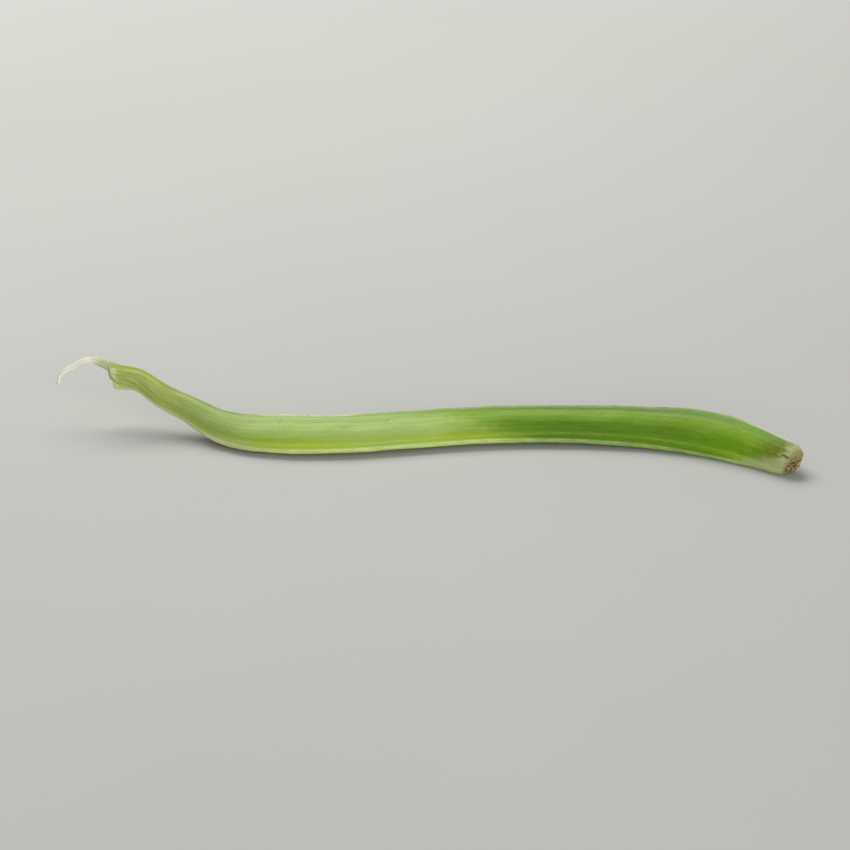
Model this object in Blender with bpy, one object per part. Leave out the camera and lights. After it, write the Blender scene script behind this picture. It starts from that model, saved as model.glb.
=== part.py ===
"""A cluster bean (guar): one picked pod, lying on its side on a flat surface.

The pod grew as one piece, so it is one solid. It is lofted ring by ring along its own curved line: from the
scar at +X where it hung from its stalk, through the ridged pod and its narrow beak, to the dried style that
hooks over at -X. The seam with two ridges faces +Y, and the seam with one ridge faces -Y. The lists are in
millimetres, the mesh is in metres, +Z is up, and the origin is on the surface, under the middle of the pod's
box.
"""

import bmesh
import bpy
import numpy as np

MM = 0.001

# The pod's line from the stalk scar to the style's tip. It lies on the surface up to the beak, then rises.
POD_LINE = (
    (63.9, -15.7, 2.9),
    (58.5, -11.1, 2.9),
    (51.0, -6.2, 2.7),
    (43.0, -3.2, 2.4),
    (33.0, -1.4, 2.2),
    (20.0, -0.6, 2.2),
    (4.0, -1.9, 2.2),
    (-12.0, -4.6, 2.2),
    (-23.0, -5.0, 2.2),
    (-31.0, -3.8, 2.3),
    (-37.0, -1.2, 3.0),
    (-42.0, 2.2, 4.6),
    (-46.3, 4.5, 6.6),
    (-50.5, 7.1, 8.9),
    (-55.2, 7.6, 9.9),
    (-58.7, 7.6, 11.2),
    (-62.3, 7.6, 9.9),
    (-64.5, 7.5, 8.1),
    (-64.8, 7.4, 6.2),
)

# Distances along that line, from the stalk end.
END_LENGTH = 4.0
REST_END = 97.0
RISE_END = 110.0
SHOULDER = 127.3
STYLE_START = 127.9

# The double-ridged seam runs into the style this much sooner and later than the rest. Across the pod, as
# shares of its half width, that seam's part of the section starts at the first place, and is whole at the
# second.
SEAM_RUN = 2.6
SEAM_PLACE = (0.2, 0.8)

PRESS = 0.12  # how far the resting side is flattened where it touches the surface

# The pod along its length: distance, half width, half thickness, roll in degrees, how far the middle of the
# section lies to the single-ridged side of the line, and how far that side lags behind the other, as a share
# of the width. The roll lifts the double-ridged seam.
STATIONS = (
    (0.0, 3.05, 2.20, 40.0, 0.0, -0.30),
    (5.0, 3.35, 2.35, 38.0, 0.0, 0.0),
    (10.0, 3.80, 2.50, 35.0, 0.0, 0.0),
    (17.0, 4.25, 2.60, 31.0, 0.0, 0.0),
    (28.0, 4.15, 2.50, 23.0, 0.0, 0.0),
    (45.0, 4.05, 2.40, 16.0, 0.0, 0.0),
    (64.0, 4.05, 2.40, 15.0, 0.0, 0.0),
    (85.0, 4.15, 2.45, 16.0, 0.0, 0.0),
    (95.0, 4.00, 2.40, 18.0, 0.0, 0.0),
    (103.0, 3.20, 2.15, 23.0, 0.0, 0.0),
    (110.0, 2.35, 1.80, 32.0, 0.1, 0.0),
    (116.0, 2.15, 1.60, 40.0, 0.5, 0.0),
    (121.5, 1.95, 1.50, 46.0, 1.0, 0.10),
    (127.3, 2.15, 1.40, 50.0, 1.4, 0.35),
    (141.0, 2.15, 1.40, 50.0, 1.4, 0.35),
)

# Half of the pod's section, as shares of its half width and half thickness: from the groove between the two
# ridges of one seam, over the broad side, to the crease and crest of the single ridge on the other seam.
HALF_SECTION = (
    (0.80, 0.00),
    (0.93, 0.34),
    (0.93, 0.68),
    (0.77, 0.68),
    (0.44, 0.90),
    (0.02, 0.96),
    (-0.42, 0.80),
    (-0.74, 0.42),
    (-0.89, 0.35),
    (-1.01, 0.18),
    (-1.05, 0.00),
)
POINTS_PER_SPAN = 2  # points of the mesh from each of these to the next

# The stalk end, from the bottom of the scar's pit over its rim to the pod's side: distance along the line,
# half width, half thickness, how round the section is, and how far it lies to the single-ridged side.
STALK_END = (
    (0.80, 0.20, 0.20, 1.00, 0.6),
    (0.72, 0.60, 0.52, 1.00, 0.6),
    (0.25, 0.82, 0.70, 1.00, 0.6),
    (-0.30, 1.02, 0.86, 1.00, 0.6),
    (-0.34, 1.36, 1.14, 1.00, 0.6),
    (0.02, 1.66, 1.32, 1.00, 0.6),
    (0.20, 2.15, 1.56, 0.85, 0.3),
    (0.60, 2.60, 1.84, 0.60, 0.1),
    (1.30, 2.92, 2.04, 0.35, 0.0),
    (2.50, 3.12, 2.20, 0.12, 0.0),
)

# The seeds show as low swellings on both broad sides, spread evenly from the first to the last.
FIRST_SEED = 13.0
LAST_SEED = 103.0
SEED_COUNT = 10
SEED_SPREAD = 2.7
SEED_HEIGHT = 0.24
SEED_VARIETY = 0.15  # the smallest seed is twice this share lower than the largest
SEED_TURN = 2.4  # radians from each seed to the next in the wave that their sizes follow
SEED_PLACE = 0.05  # middle of a seed across the pod, as a share of the half width
SEED_REACH = 0.45  # and how far the swelling reaches from there

# The dried style: distance along the line and radius.
STYLE = (
    (127.3, 0.86),
    (130.0, 0.72),
    (133.0, 0.54),
    (137.0, 0.44),
    (140.0, 0.37),
)
STYLE_TIP = 0.55  # length of its rounded tip
STYLE_END = 0.15  # radius of the flat on the tip, as a share of the style's radius

# How far apart the rings are along the line.
BODY_STEP = 2.3
BEAK_STEP = 1.3
STYLE_STEP = 0.85
SHOULDER_RINGS = 5
TIP_RINGS = (1.0, 0.5, 0.15, 0.01)  # as shares of the style's tip
LINE_STEP = 0.1

SKIN_COLOUR = (0.29, 0.44, 0.07, 1.0)
SKIN_ROUGHNESS = 0.45


def natural_spline(knots, values):
    """A smooth function that passes through each row of values at its knot."""
    knots = np.asarray(knots, float)
    values = np.asarray(values, float)
    step = np.diff(knots)
    slope = np.diff(values, axis=0) / step[:, None]
    system = np.eye(len(knots))
    target = np.zeros_like(values)
    for i in range(1, len(knots) - 1):
        system[i, i - 1 : i + 2] = step[i - 1], 2 * (step[i - 1] + step[i]), step[i]
        target[i] = 6 * (slope[i] - slope[i - 1])
    bend = np.linalg.solve(system, target)

    def at(t):
        i = np.clip(np.searchsorted(knots, t) - 1, 0, len(step) - 1)
        before = (t - knots[i])[:, None]
        after = (knots[i + 1] - t)[:, None]
        h = step[i][:, None]
        cubic = bend[i] * after**3 + bend[i + 1] * before**3
        start = (values[i] / h - bend[i] * h / 6) * after
        end = (values[i + 1] / h - bend[i + 1] * h / 6) * before
        return cubic / (6 * h) + start + end

    return at


def unit(vectors):
    return vectors / np.linalg.norm(vectors, axis=-1, keepdims=True)


def smooth_step(value, start, end):
    share = np.clip((value - start) / (end - start), 0.0, 1.0)
    return share * share * (3 - 2 * share)


class Line:
    """The pod's line, with its direction and the direction of its wide side at each distance along it."""

    def __init__(self, points):
        points = np.asarray(points, float)
        chord = self.distances(points)
        curve = natural_spline(chord, points)
        fine = curve(np.arange(0.0, chord[-1], LINE_STEP))
        self.along = self.distances(fine)
        self.centre = fine
        self.forward = unit(np.gradient(fine, self.along, axis=0))
        self.wide = self.carried_along(self.forward)

    @staticmethod
    def distances(points):
        lengths = np.linalg.norm(np.diff(points, axis=0), axis=1)
        return np.concatenate([[0.0], np.cumsum(lengths)])

    @staticmethod
    def carried_along(forward):
        """The wide direction, level at the stalk end and carried along the line without a twist."""
        wide = [unit(np.cross(forward[0], (0.0, 0.0, 1.0)))]
        for direction in forward[1:]:
            wide.append(unit(wide[-1] - direction * np.dot(wide[-1], direction)))
        return np.array(wide)

    def at(self, distance):
        """The centre, forward, wide and upper vectors there. Before its start the line runs on straight."""
        found = [
            np.array([np.interp(distance, self.along, column) for column in table.T])
            for table in (self.centre, self.forward, self.wide)
        ]
        centre, forward, wide = found[0], unit(found[1]), unit(found[2])
        centre = centre + forward * min(distance, 0.0)
        return centre, forward, wide, np.cross(wide, forward)


def full_section(points_per_span):
    """The whole section as a smooth outline of (wide, upper) shares, and its points on a unit circle."""
    half = np.array(HALF_SECTION)
    knots = np.concatenate([half, half[-2:0:-1] * (1, -1)])
    steps = np.arange(points_per_span) / points_per_span
    outline = []
    for i in range(len(knots)):
        p0, p1, p2, p3 = (knots[(i + k) % len(knots)] for k in (-1, 0, 1, 2))
        for t in steps:
            bend = (2 * p0 - 5 * p1 + 4 * p2 - p3) * t**2
            twist = (3 * p1 - p0 - 3 * p2 + p3) * t**3
            outline.append(p1 + 0.5 * ((p2 - p0) * t + bend + twist))
    outline = np.array(outline)
    return outline, unit(outline)


def seed_swelling(distance, section):
    """How far the seeds push each point of the section up on its upper half, or down on its lower half."""
    places = np.linspace(FIRST_SEED, LAST_SEED, SEED_COUNT)
    sizes = 1 - SEED_VARIETY * (1 - np.cos(SEED_TURN * np.arange(SEED_COUNT)))
    height = SEED_HEIGHT * np.sum(sizes * np.exp(-(((distance - places) / SEED_SPREAD) ** 2)))
    across = np.exp(-(((section[:, 0] - SEED_PLACE) / SEED_REACH) ** 2))
    return height * across * section[:, 1]


class Pod:
    """The pod's rings. Each ring is one section of the loft, as an array of points in millimetres."""

    def __init__(self, points_per_span):
        self.line = Line(POD_LINE)
        self.section, self.circle = full_section(points_per_span)
        table = np.array(STATIONS)
        self.stations = natural_spline(table[:, 0], table[:, 1:])

    def placed(self, distance, outline, roll, lag):
        """The outline, as (wide, upper) millimetres, set across the line at that distance and rolled."""
        centre, forward, wide, upper = self.line.at(distance)
        turn = np.radians(roll)
        rolled_wide = wide * np.cos(turn) + upper * np.sin(turn) + forward * lag
        rolled_upper = upper * np.cos(turn) - wide * np.sin(turn)
        ring = outline[:, :1] * rolled_wide + outline[:, 1:] * rolled_upper
        return ring + self.settled(distance, centre)

    def settled(self, distance, centre):
        """The centre lowered or raised so that the resting part of the pod just touches the surface."""
        resting = np.clip(distance, END_LENGTH, REST_END)
        width, thickness, roll, shift, _ = self.stations(np.array([resting]))[0]
        outline = self.section * (width, thickness) - (shift, 0.0)
        turn = np.radians(roll)
        lowest = np.min(outline[:, 0] * np.sin(turn) + outline[:, 1] * np.cos(turn))
        free = smooth_step(distance, REST_END, RISE_END)
        height = centre[2] * free + (-lowest - PRESS) * (1 - free)
        return np.array([centre[0], centre[1], height])

    def stalk_end_ring(self, distance, width, thickness, roundness, shift):
        _, _, roll, _, lag = self.stations(np.array([max(distance, 0.0)]))[0]
        shape = self.section + (self.circle - self.section) * roundness
        return self.placed(distance, shape * (width, thickness) - (shift, 0.0), roll, lag)

    def body_ring(self, distance):
        width, thickness, roll, shift, lag = self.stations(np.array([distance]))[0]
        outline = self.section * (width, thickness)
        outline[:, 1] += seed_swelling(distance, self.section)
        outline -= (shift, 0.0)
        outline += (self.style_outline(distance) - outline) * self.style_share(distance)
        return self.placed(distance, outline, roll, lag)

    def style_share(self, distance):
        """How far each point has gone from the pod's section to the style's. This makes the shoulder's step,
        and the double-ridged seam runs into the style without one."""
        run = SEAM_RUN * smooth_step(self.section[:, :1], *SEAM_PLACE)
        return smooth_step(distance, SHOULDER - run, STYLE_START + run)

    def style_outline(self, distance):
        places, radii = np.array(STYLE).T
        left = places[-1] - distance
        tip = np.sqrt(1 - (1 - min(left / STYLE_TIP, 1.0)) ** 2)
        return self.circle * np.interp(distance, places, radii) * max(tip, STYLE_END)

    def rings(self, body_step, beak_step, style_step):
        """Every ring, from the bottom of the scar's pit to the tip of the style."""
        end = STYLE[-1][0]
        body = np.arange(END_LENGTH, REST_END, body_step)
        beak = np.arange(REST_END, SHOULDER, beak_step)
        shoulder = np.linspace(SHOULDER, STYLE_START, SHOULDER_RINGS)
        style = np.arange(STYLE_START + style_step, end - STYLE_TIP, style_step)
        tip = end - STYLE_TIP * np.array(TIP_RINGS)
        rings = [self.stalk_end_ring(*row) for row in STALK_END]
        rings += [self.body_ring(d) for d in np.concatenate([body, beak, shoulder, style, tip])]
        return np.array(rings)


def onto_surface(rings):
    """The rings with nothing below the surface and the middle of their box over the origin."""
    rings[:, :, 2] = np.maximum(rings[:, :, 2], 0.0)
    low = rings.min(axis=(0, 1))
    high = rings.max(axis=(0, 1))
    rings[:, :, :2] -= ((low + high) / 2)[:2]
    return rings


def lofted_mesh(name, rings):
    """A closed mesh that joins each ring to the next, with a flat face over the first and the last."""
    shape = bmesh.new()
    loops = [[shape.verts.new(point * MM) for point in ring] for ring in rings]
    count = len(loops[0])
    for first, second in zip(loops, loops[1:]):
        for i in range(count):
            j = (i + 1) % count
            shape.faces.new((first[i], first[j], second[j], second[i]))
    shape.faces.new(loops[0])
    shape.faces.new(loops[-1])
    bmesh.ops.recalc_face_normals(shape, faces=shape.faces)
    mesh = bpy.data.meshes.new(name)
    shape.to_mesh(mesh)
    shape.free()
    mesh.shade_smooth()
    return mesh


def pod_skin():
    material = bpy.data.materials.new("pod_skin")
    material.use_nodes = True
    shader = material.node_tree.nodes["Principled BSDF"]
    shader.inputs["Base Color"].default_value = SKIN_COLOUR
    shader.inputs["Roughness"].default_value = SKIN_ROUGHNESS
    shader.inputs["Metallic"].default_value = 0.0
    return material


def main():
    for obj in list(bpy.data.objects):
        bpy.data.objects.remove(obj)
    collection = bpy.data.collections.new("cluster_bean")
    bpy.context.scene.collection.children.link(collection)
    rings = onto_surface(Pod(POINTS_PER_SPAN).rings(BODY_STEP, BEAK_STEP, STYLE_STEP))
    mesh = lofted_mesh("pod", rings)
    mesh.materials.append(pod_skin())
    collection.objects.link(bpy.data.objects.new("pod", mesh))


main()
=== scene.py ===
"""The looks of a cluster bean (guar): one picked pod on a light grey surface, under soft studio light.

The pod is lofted here again on the same line, stations and section as the plain solid, with far more rings
and points, and with relief: seed swellings, veins, ridges that waver, the torn shoulder under the style and
the cracked scar at the stalk end. Lengths are in millimetres unless a comment says otherwise. The meshes are
in metres, in the frame of the plain solid.
"""

import bpy
import numpy as np
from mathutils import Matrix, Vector, noise


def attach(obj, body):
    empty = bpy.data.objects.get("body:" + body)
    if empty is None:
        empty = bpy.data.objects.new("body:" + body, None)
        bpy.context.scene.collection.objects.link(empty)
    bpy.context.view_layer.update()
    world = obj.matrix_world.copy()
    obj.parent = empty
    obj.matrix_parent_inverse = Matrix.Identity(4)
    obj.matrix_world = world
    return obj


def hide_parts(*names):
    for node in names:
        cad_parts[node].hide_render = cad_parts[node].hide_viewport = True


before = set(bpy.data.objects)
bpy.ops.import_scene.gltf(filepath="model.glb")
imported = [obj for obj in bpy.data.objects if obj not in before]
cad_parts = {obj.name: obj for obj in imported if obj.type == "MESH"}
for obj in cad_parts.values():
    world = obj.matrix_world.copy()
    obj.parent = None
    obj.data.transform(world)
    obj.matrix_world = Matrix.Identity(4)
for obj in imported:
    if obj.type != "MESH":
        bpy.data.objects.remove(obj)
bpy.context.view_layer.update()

MM = 0.001

# The pod's line, its stations and its section: the same values as the plain solid's.
POD_LINE = (
    (63.9, -15.7, 2.9),
    (58.5, -11.1, 2.9),
    (51.0, -6.2, 2.7),
    (43.0, -3.2, 2.4),
    (33.0, -1.4, 2.2),
    (20.0, -0.6, 2.2),
    (4.0, -1.9, 2.2),
    (-12.0, -4.6, 2.2),
    (-23.0, -5.0, 2.2),
    (-31.0, -3.8, 2.3),
    (-37.0, -1.2, 3.0),
    (-42.0, 2.2, 4.6),
    (-46.3, 4.5, 6.6),
    (-50.5, 7.1, 8.9),
    (-55.2, 7.6, 9.9),
    (-58.7, 7.6, 11.2),
    (-62.3, 7.6, 9.9),
    (-64.5, 7.5, 8.1),
    (-64.8, 7.4, 6.2),
)
LINE_STEP = 0.1

# Distances along the line, from the stalk end.
END_LENGTH = 4.0  # the stalk end's own rings reach this far
REST_END = 97.0  # the pod lies on the surface up to here
RISE_END = 110.0  # and follows its line alone from here
SHOULDER = 127.3  # the pod's own section ends here
STYLE_START = 127.9  # and the style's section is reached here
SEAM_RUN = 2.6  # on the seam's side that change starts so much sooner and ends so much later

PRESS = 0.12  # how far the underside is sunk and cut off, which flattens it

# Distance, half width, half thickness, roll in degrees, shift to the single-ridged side, and how far that
# side lags behind, as a share of the width.
STATIONS = (
    (0.0, 3.05, 2.20, 40.0, 0.0, -0.30),
    (5.0, 3.35, 2.35, 38.0, 0.0, 0.0),
    (10.0, 3.80, 2.50, 35.0, 0.0, 0.0),
    (17.0, 4.25, 2.60, 31.0, 0.0, 0.0),
    (28.0, 4.15, 2.50, 23.0, 0.0, 0.0),
    (45.0, 4.05, 2.40, 16.0, 0.0, 0.0),
    (64.0, 4.05, 2.40, 15.0, 0.0, 0.0),
    (85.0, 4.15, 2.45, 16.0, 0.0, 0.0),
    (95.0, 4.00, 2.40, 18.0, 0.0, 0.0),
    (103.0, 3.20, 2.15, 23.0, 0.0, 0.0),
    (110.0, 2.35, 1.80, 32.0, 0.1, 0.0),
    (116.0, 2.15, 1.60, 40.0, 0.5, 0.0),
    (121.5, 1.95, 1.50, 46.0, 1.0, 0.10),
    (127.3, 2.15, 1.40, 50.0, 1.4, 0.35),
    (141.0, 2.15, 1.40, 50.0, 1.4, 0.35),
)

# Half of the section, from the groove between the double ridges to the keel, as shares of the half width
# and the half thickness.
HALF_SECTION = (
    (0.80, 0.00),
    (0.93, 0.34),
    (0.93, 0.68),
    (0.77, 0.68),
    (0.44, 0.90),
    (0.02, 0.96),
    (-0.42, 0.80),
    (-0.74, 0.42),
    (-0.89, 0.35),
    (-1.01, 0.18),
    (-1.05, 0.00),
)
FLATNESS = 1.7  # half width over half thickness

# Parts of the section, on the same scale: the place and the spread of each. Then those on the keel's side,
# by how far towards it each begins and is full.
RAIL = ((0.92, 0.62), 0.20)
GROOVE = ((0.80, 0.00), 0.42)
VALLEY = ((0.76, 0.68), 0.13)
CREASE = ((-0.76, 0.42), 0.09)
LEDGE_ZONE = (0.70, 0.84)
KEEL_ZONE = (0.95, 1.045)

# Distance, half width, half thickness, roundness and shift, from the bottom of the scar's pit to the pod's
# side.
STALK_END = (
    (0.80, 0.20, 0.20, 1.00, 0.6),
    (0.72, 0.60, 0.52, 1.00, 0.6),
    (0.25, 0.82, 0.70, 1.00, 0.6),
    (-0.30, 1.02, 0.86, 1.00, 0.6),
    (-0.34, 1.36, 1.14, 1.00, 0.6),
    (0.02, 1.66, 1.32, 1.00, 0.6),
    (0.20, 2.15, 1.56, 0.85, 0.3),
    (0.60, 2.60, 1.84, 0.60, 0.1),
    (1.30, 2.92, 2.04, 0.35, 0.0),
    (2.50, 3.12, 2.20, 0.12, 0.0),
)
SCAR_ROWS = 6  # the rows of the stalk end that are the scar
SCAR_FADE = (SCAR_ROWS - 1.6, SCAR_ROWS - 0.6)  # the scar's mask fades out over these rows
RIM_FADE = (SCAR_ROWS - 1.2, SCAR_ROWS + 2.3)  # and the rim's mask over these

# Distance and radius of the style, then the shares across where the shoulder's seam side begins and is full.
STYLE = (
    (127.3, 0.86),
    (130.0, 0.72),
    (133.0, 0.54),
    (137.0, 0.44),
    (140.0, 0.37),
)
SEAM_PLACE = (0.2, 0.8)
STYLE_TIP = 0.55  # the length of its rounded tip
STYLE_END = 0.15  # the share of the radius that is left at its very end
TIP_RINGS = (1.0, 0.7, 0.45, 0.25, 0.1, 0.02)  # the shares of that length left past each of its rings

# The seed swellings: where they are along the pod and across it, how far they spread and how high they are.
FIRST_SEED = 13.0
LAST_SEED = 103.0
SEED_COUNT = 10
SEED_SPREAD = 2.7
SEED_HEIGHT = 0.24
SEED_VARIETY = 0.15  # how much the seeds differ in size
SEED_TURN = 2.4  # the angle in radians from one seed's size to the next one's, on a cosine
SEED_PLACE = 0.05
SEED_REACH = 0.45

# How finely the pod is made here.
POINTS_PER_SPAN = 9
STALK_END_RINGS = 70
BODY_STEP = 0.34
SHOULDER_STEP = 0.065
SHOULDER_REACH = 1.3  # the fine rings run this far to each side of the shoulder
STYLE_STEP = 0.2

# Fine relief, as heights over the plain shape. Each vein has its place across, its height and its spread.
VEINS = (
    (0.62, 0.030, 0.050),
    (0.30, 0.055, 0.065),
    (0.02, 0.025, 0.045),
    (-0.28, 0.040, 0.055),
    (-0.55, 0.025, 0.045),
)
VEIN_WANDER = 0.05
RIDGE_WAVER = 0.08
RIDGE_BEADS = 0.035
UNDULATION = 0.07
DIMPLES = 0.018
NECK_WRINKLES = 0.045
END_WRINKLES = 0.06
SCAR_ROUGHNESS = 0.16
STYLE_ROUGHNESS = 0.05
STYLE_RIBS = 0.045

# The sizes of that relief's features: one size, or one along the pod and two across it.
UNDULATION_SIZE = (7.0, 3.5, 3.5)
DIMPLE_SIZE = 1.6
VEIN_SIZE = 9.0
WAVER_SIZE = (4.5, 6.0, 6.0)
BEAD_SIZE = (1.3, 3.0, 3.0)
RIB_DRIFT_SIZE = (6.0, 2.0, 2.0)
SCAR_GRAIN_SIZE = 0.5
STYLE_GRAIN_SIZE = (1.6, 0.5, 0.5)

# The two sides, the veins and the kinds of relief read the noise this far apart, so each one wanders on
# its own. The noise is stretched to reach about -1 to 1.
SIDES_APART = 50.0
VEINS_APART = 20.0
KINDS_APART = (17.3, 5.1, 9.7)
NOISE_STRETCH = 1.6

RIB_DRIFT = 2.5  # how far the ribs round the pod drift, in radians
NECK_RIB_COUNT = 12
END_RIB_COUNT = 15
STYLE_RIB_COUNT = 6
BODY_FADE = 3.0  # the veins, ridges and ribs fade out over this length before the shoulder
NECK_RIB_ZONE = (106.0, 124.0)
END_RIB_ZONE = (0.4, 6.0)
STYLE_RELIEF_RUN = 1.0  # the style's relief is full so far past its start

# Small dents on the upper broad side: distance along the pod, place across, radius and depth. Past
# DENT_REACH radii there is nothing left of one.
DENT_REACH = 3
DENTS = (
    (80.5, -0.12, 0.75, 0.10),
    (87.0, 0.02, 0.60, 0.07),
    (33.0, 0.25, 0.55, 0.06),
    (57.5, -0.30, 0.50, 0.06),
    (18.5, -0.10, 0.70, 0.09),
    (106.0, 0.30, 0.50, 0.06),
)

# A thin brown crack beside the scar: where it starts and fades out along the pod, its place across, its
# spread, how far it sways, and the waves of that sway, in radians a millimetre and their share.
STAIN_START = (-0.2, 0.6)
STAIN_FADE = (2.2, 4.2)
STAIN_PLACE = -0.16
STAIN_SPREAD = 0.09
STAIN_SWAY = 0.07
STAIN_WAVES = ((1.9, 1.0), (5.3, 0.5))

# How far the torn edge of the shoulder reaches past its plain place: place across, reach, and spread across.
TEETH = (
    (0.42, -0.15, 0.14),
    (-0.16, 0.85, 0.21),
    (-0.62, -0.30, 0.13),
    (-1.00, 0.10, 0.20),
)

# The torn edge's finer teeth: reach, and how many go round.
RAGGED_LARGE = (0.08, 9)
RAGGED_SMALL = (0.06, 23)

# The pale edge that the tear leaves: where it begins and ends on the way to the style's section, how far it
# reaches from the shoulder, and how much of it the seam's side lacks.
TEAR_BEGINS = (0.02, 0.2)
TEAR_ENDS = (0.5, 0.9)
TEAR_REACH = (-2.0, 0.6)
SEAM_LACKS = 0.75

# The dry fibres round the scar: the ring that they stand on, and each one's own measures.
FIBRE_RING = 34
FIBRE_BEHIND = 40  # so many rings further on, the middle gives the direction that the end faces
FIBRE_SCATTER = (0.0, 0.8)
FIBRE_LEAN = (-0.5, 0.9)
FIBRE_COUNT = 11
FIBRE_SEED = 5
FIBRE_SIDES = 7
FIBRE_RINGS = 7
FIBRE_LENGTH = (0.30, 0.65)
FIBRE_RADIUS = (0.05, 0.09)
FIBRE_TAPER = 0.75
FIBRE_BEND = 0.35
FIBRE_SUNK = 0.25

# The studio, in metres and watts.
FLOOR_SIZE = 4.0
FLOOR_ROUGHNESS = 0.75
FLOOR_GRAIN = 9.0
KEY_PLACE = (-0.16, 0.42, 0.50)
KEY_SIZE = (0.60, 0.35)
KEY_POWER = 4.7
KEY_COLOUR = (1.0, 0.99, 0.95)
FILL_PLACE = (0.20, -0.60, 0.22)
FILL_SIZE = (0.60, 0.40)
FILL_POWER = 2.7
FILL_COLOUR = (1.0, 1.0, 0.98)
SKY_STRENGTH = 0.34
SKY_COLOUR = (0.97, 0.98, 1.0, 1.0)
CAMERA_ELEVATION = 25.0
CAMERA_DISTANCE = 0.66
CAMERA_LENS = 160.0
AIM = (0.0, 0.0, 0.004)


def natural_spline(knots, values):
    """A smooth function that passes through each row of values at its knot."""
    knots = np.asarray(knots, float)
    values = np.asarray(values, float)
    step = np.diff(knots)
    slope = np.diff(values, axis=0) / step[:, None]
    system = np.eye(len(knots))
    target = np.zeros_like(values)
    for i in range(1, len(knots) - 1):
        system[i, i - 1 : i + 2] = step[i - 1], 2 * (step[i - 1] + step[i]), step[i]
        target[i] = 6 * (slope[i] - slope[i - 1])
    bend = np.linalg.solve(system, target)

    def at(t):
        i = np.clip(np.searchsorted(knots, t) - 1, 0, len(step) - 1)
        before = (t - knots[i])[:, None]
        after = (knots[i + 1] - t)[:, None]
        h = step[i][:, None]
        cubic = bend[i] * after**3 + bend[i + 1] * before**3
        start = (values[i] / h - bend[i] * h / 6) * after
        end = (values[i + 1] / h - bend[i + 1] * h / 6) * before
        return cubic / (6 * h) + start + end

    return at


def unit(vectors):
    return vectors / np.linalg.norm(vectors, axis=-1, keepdims=True)


def smooth_step(value, start, end):
    share = np.clip((value - start) / (end - start), 0.0, 1.0)
    return share * share * (3 - 2 * share)


def hump(value, place, spread):
    return np.exp(-(((value - place) / spread) ** 2))


def wander(points, size, seed):
    """Smooth random values, about -1 to 1, with features of this size at points that are in millimetres."""
    shift = Vector([part * seed for part in KINDS_APART])
    scaled = points / np.asarray(size, float)
    return np.array([noise.noise(Vector(point) + shift) for point in scaled]) * NOISE_STRETCH


class Line:
    """The pod's line, with its direction and the direction of its wide side at each distance along it."""

    def __init__(self, points):
        points = np.asarray(points, float)
        chord = self.distances(points)
        curve = natural_spline(chord, points)
        fine = curve(np.arange(0.0, chord[-1], LINE_STEP))
        self.along = self.distances(fine)
        self.centre = fine
        self.forward = unit(np.gradient(fine, self.along, axis=0))
        self.wide = self.carried_along(self.forward)

    @staticmethod
    def distances(points):
        lengths = np.linalg.norm(np.diff(points, axis=0), axis=1)
        return np.concatenate([[0.0], np.cumsum(lengths)])

    @staticmethod
    def carried_along(forward):
        """The wide direction, level at the stalk end and carried along the line without twisting."""
        wide = [unit(np.cross(forward[0], (0.0, 0.0, 1.0)))]
        for direction in forward[1:]:
            wide.append(unit(wide[-1] - direction * np.dot(wide[-1], direction)))
        return np.array(wide)

    def at(self, distance):
        """The centre, forward, wide and upper vectors there. Before the stalk end the line is straight."""
        found = [
            np.array([np.interp(distance, self.along, column) for column in table.T])
            for table in (self.centre, self.forward, self.wide)
        ]
        centre, forward, wide = found[0], unit(found[1]), unit(found[2])
        centre = centre + forward * min(distance, 0.0)
        return centre, forward, wide, np.cross(wide, forward)


def full_section(points_per_span):
    """The section as a closed outline of (wide, upper) shares, and the same points on a unit circle."""
    half = np.array(HALF_SECTION)
    knots = np.concatenate([half, half[-2:0:-1] * (1, -1)])
    steps = np.arange(points_per_span) / points_per_span
    outline = []
    for i in range(len(knots)):
        p0, p1, p2, p3 = (knots[(i + k) % len(knots)] for k in (-1, 0, 1, 2))
        for t in steps:
            bend = (2 * p0 - 5 * p1 + 4 * p2 - p3) * t**2
            twist = (3 * p1 - p0 - 3 * p2 + p3) * t**3
            outline.append(p1 + 0.5 * ((p2 - p0) * t + bend + twist))
    outline = np.array(outline)
    return outline, unit(outline)


def outward(outline):
    """The outward direction at each point of a closed outline that runs anticlockwise."""
    tangent = np.roll(outline, -1, axis=0) - np.roll(outline, 1, axis=0)
    return unit(np.stack([tangent[:, 1], -tangent[:, 0]], axis=1))


def nearness(section, place, spread):
    """How near each point of the section is to this place or its mirror image, from 0 to 1."""
    mirrored = np.stack([section[:, 0], np.abs(section[:, 1])], axis=1)
    away = (mirrored - place) * (FLATNESS, 1.0)
    return np.exp(-(away**2).sum(axis=1) / spread**2)


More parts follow.
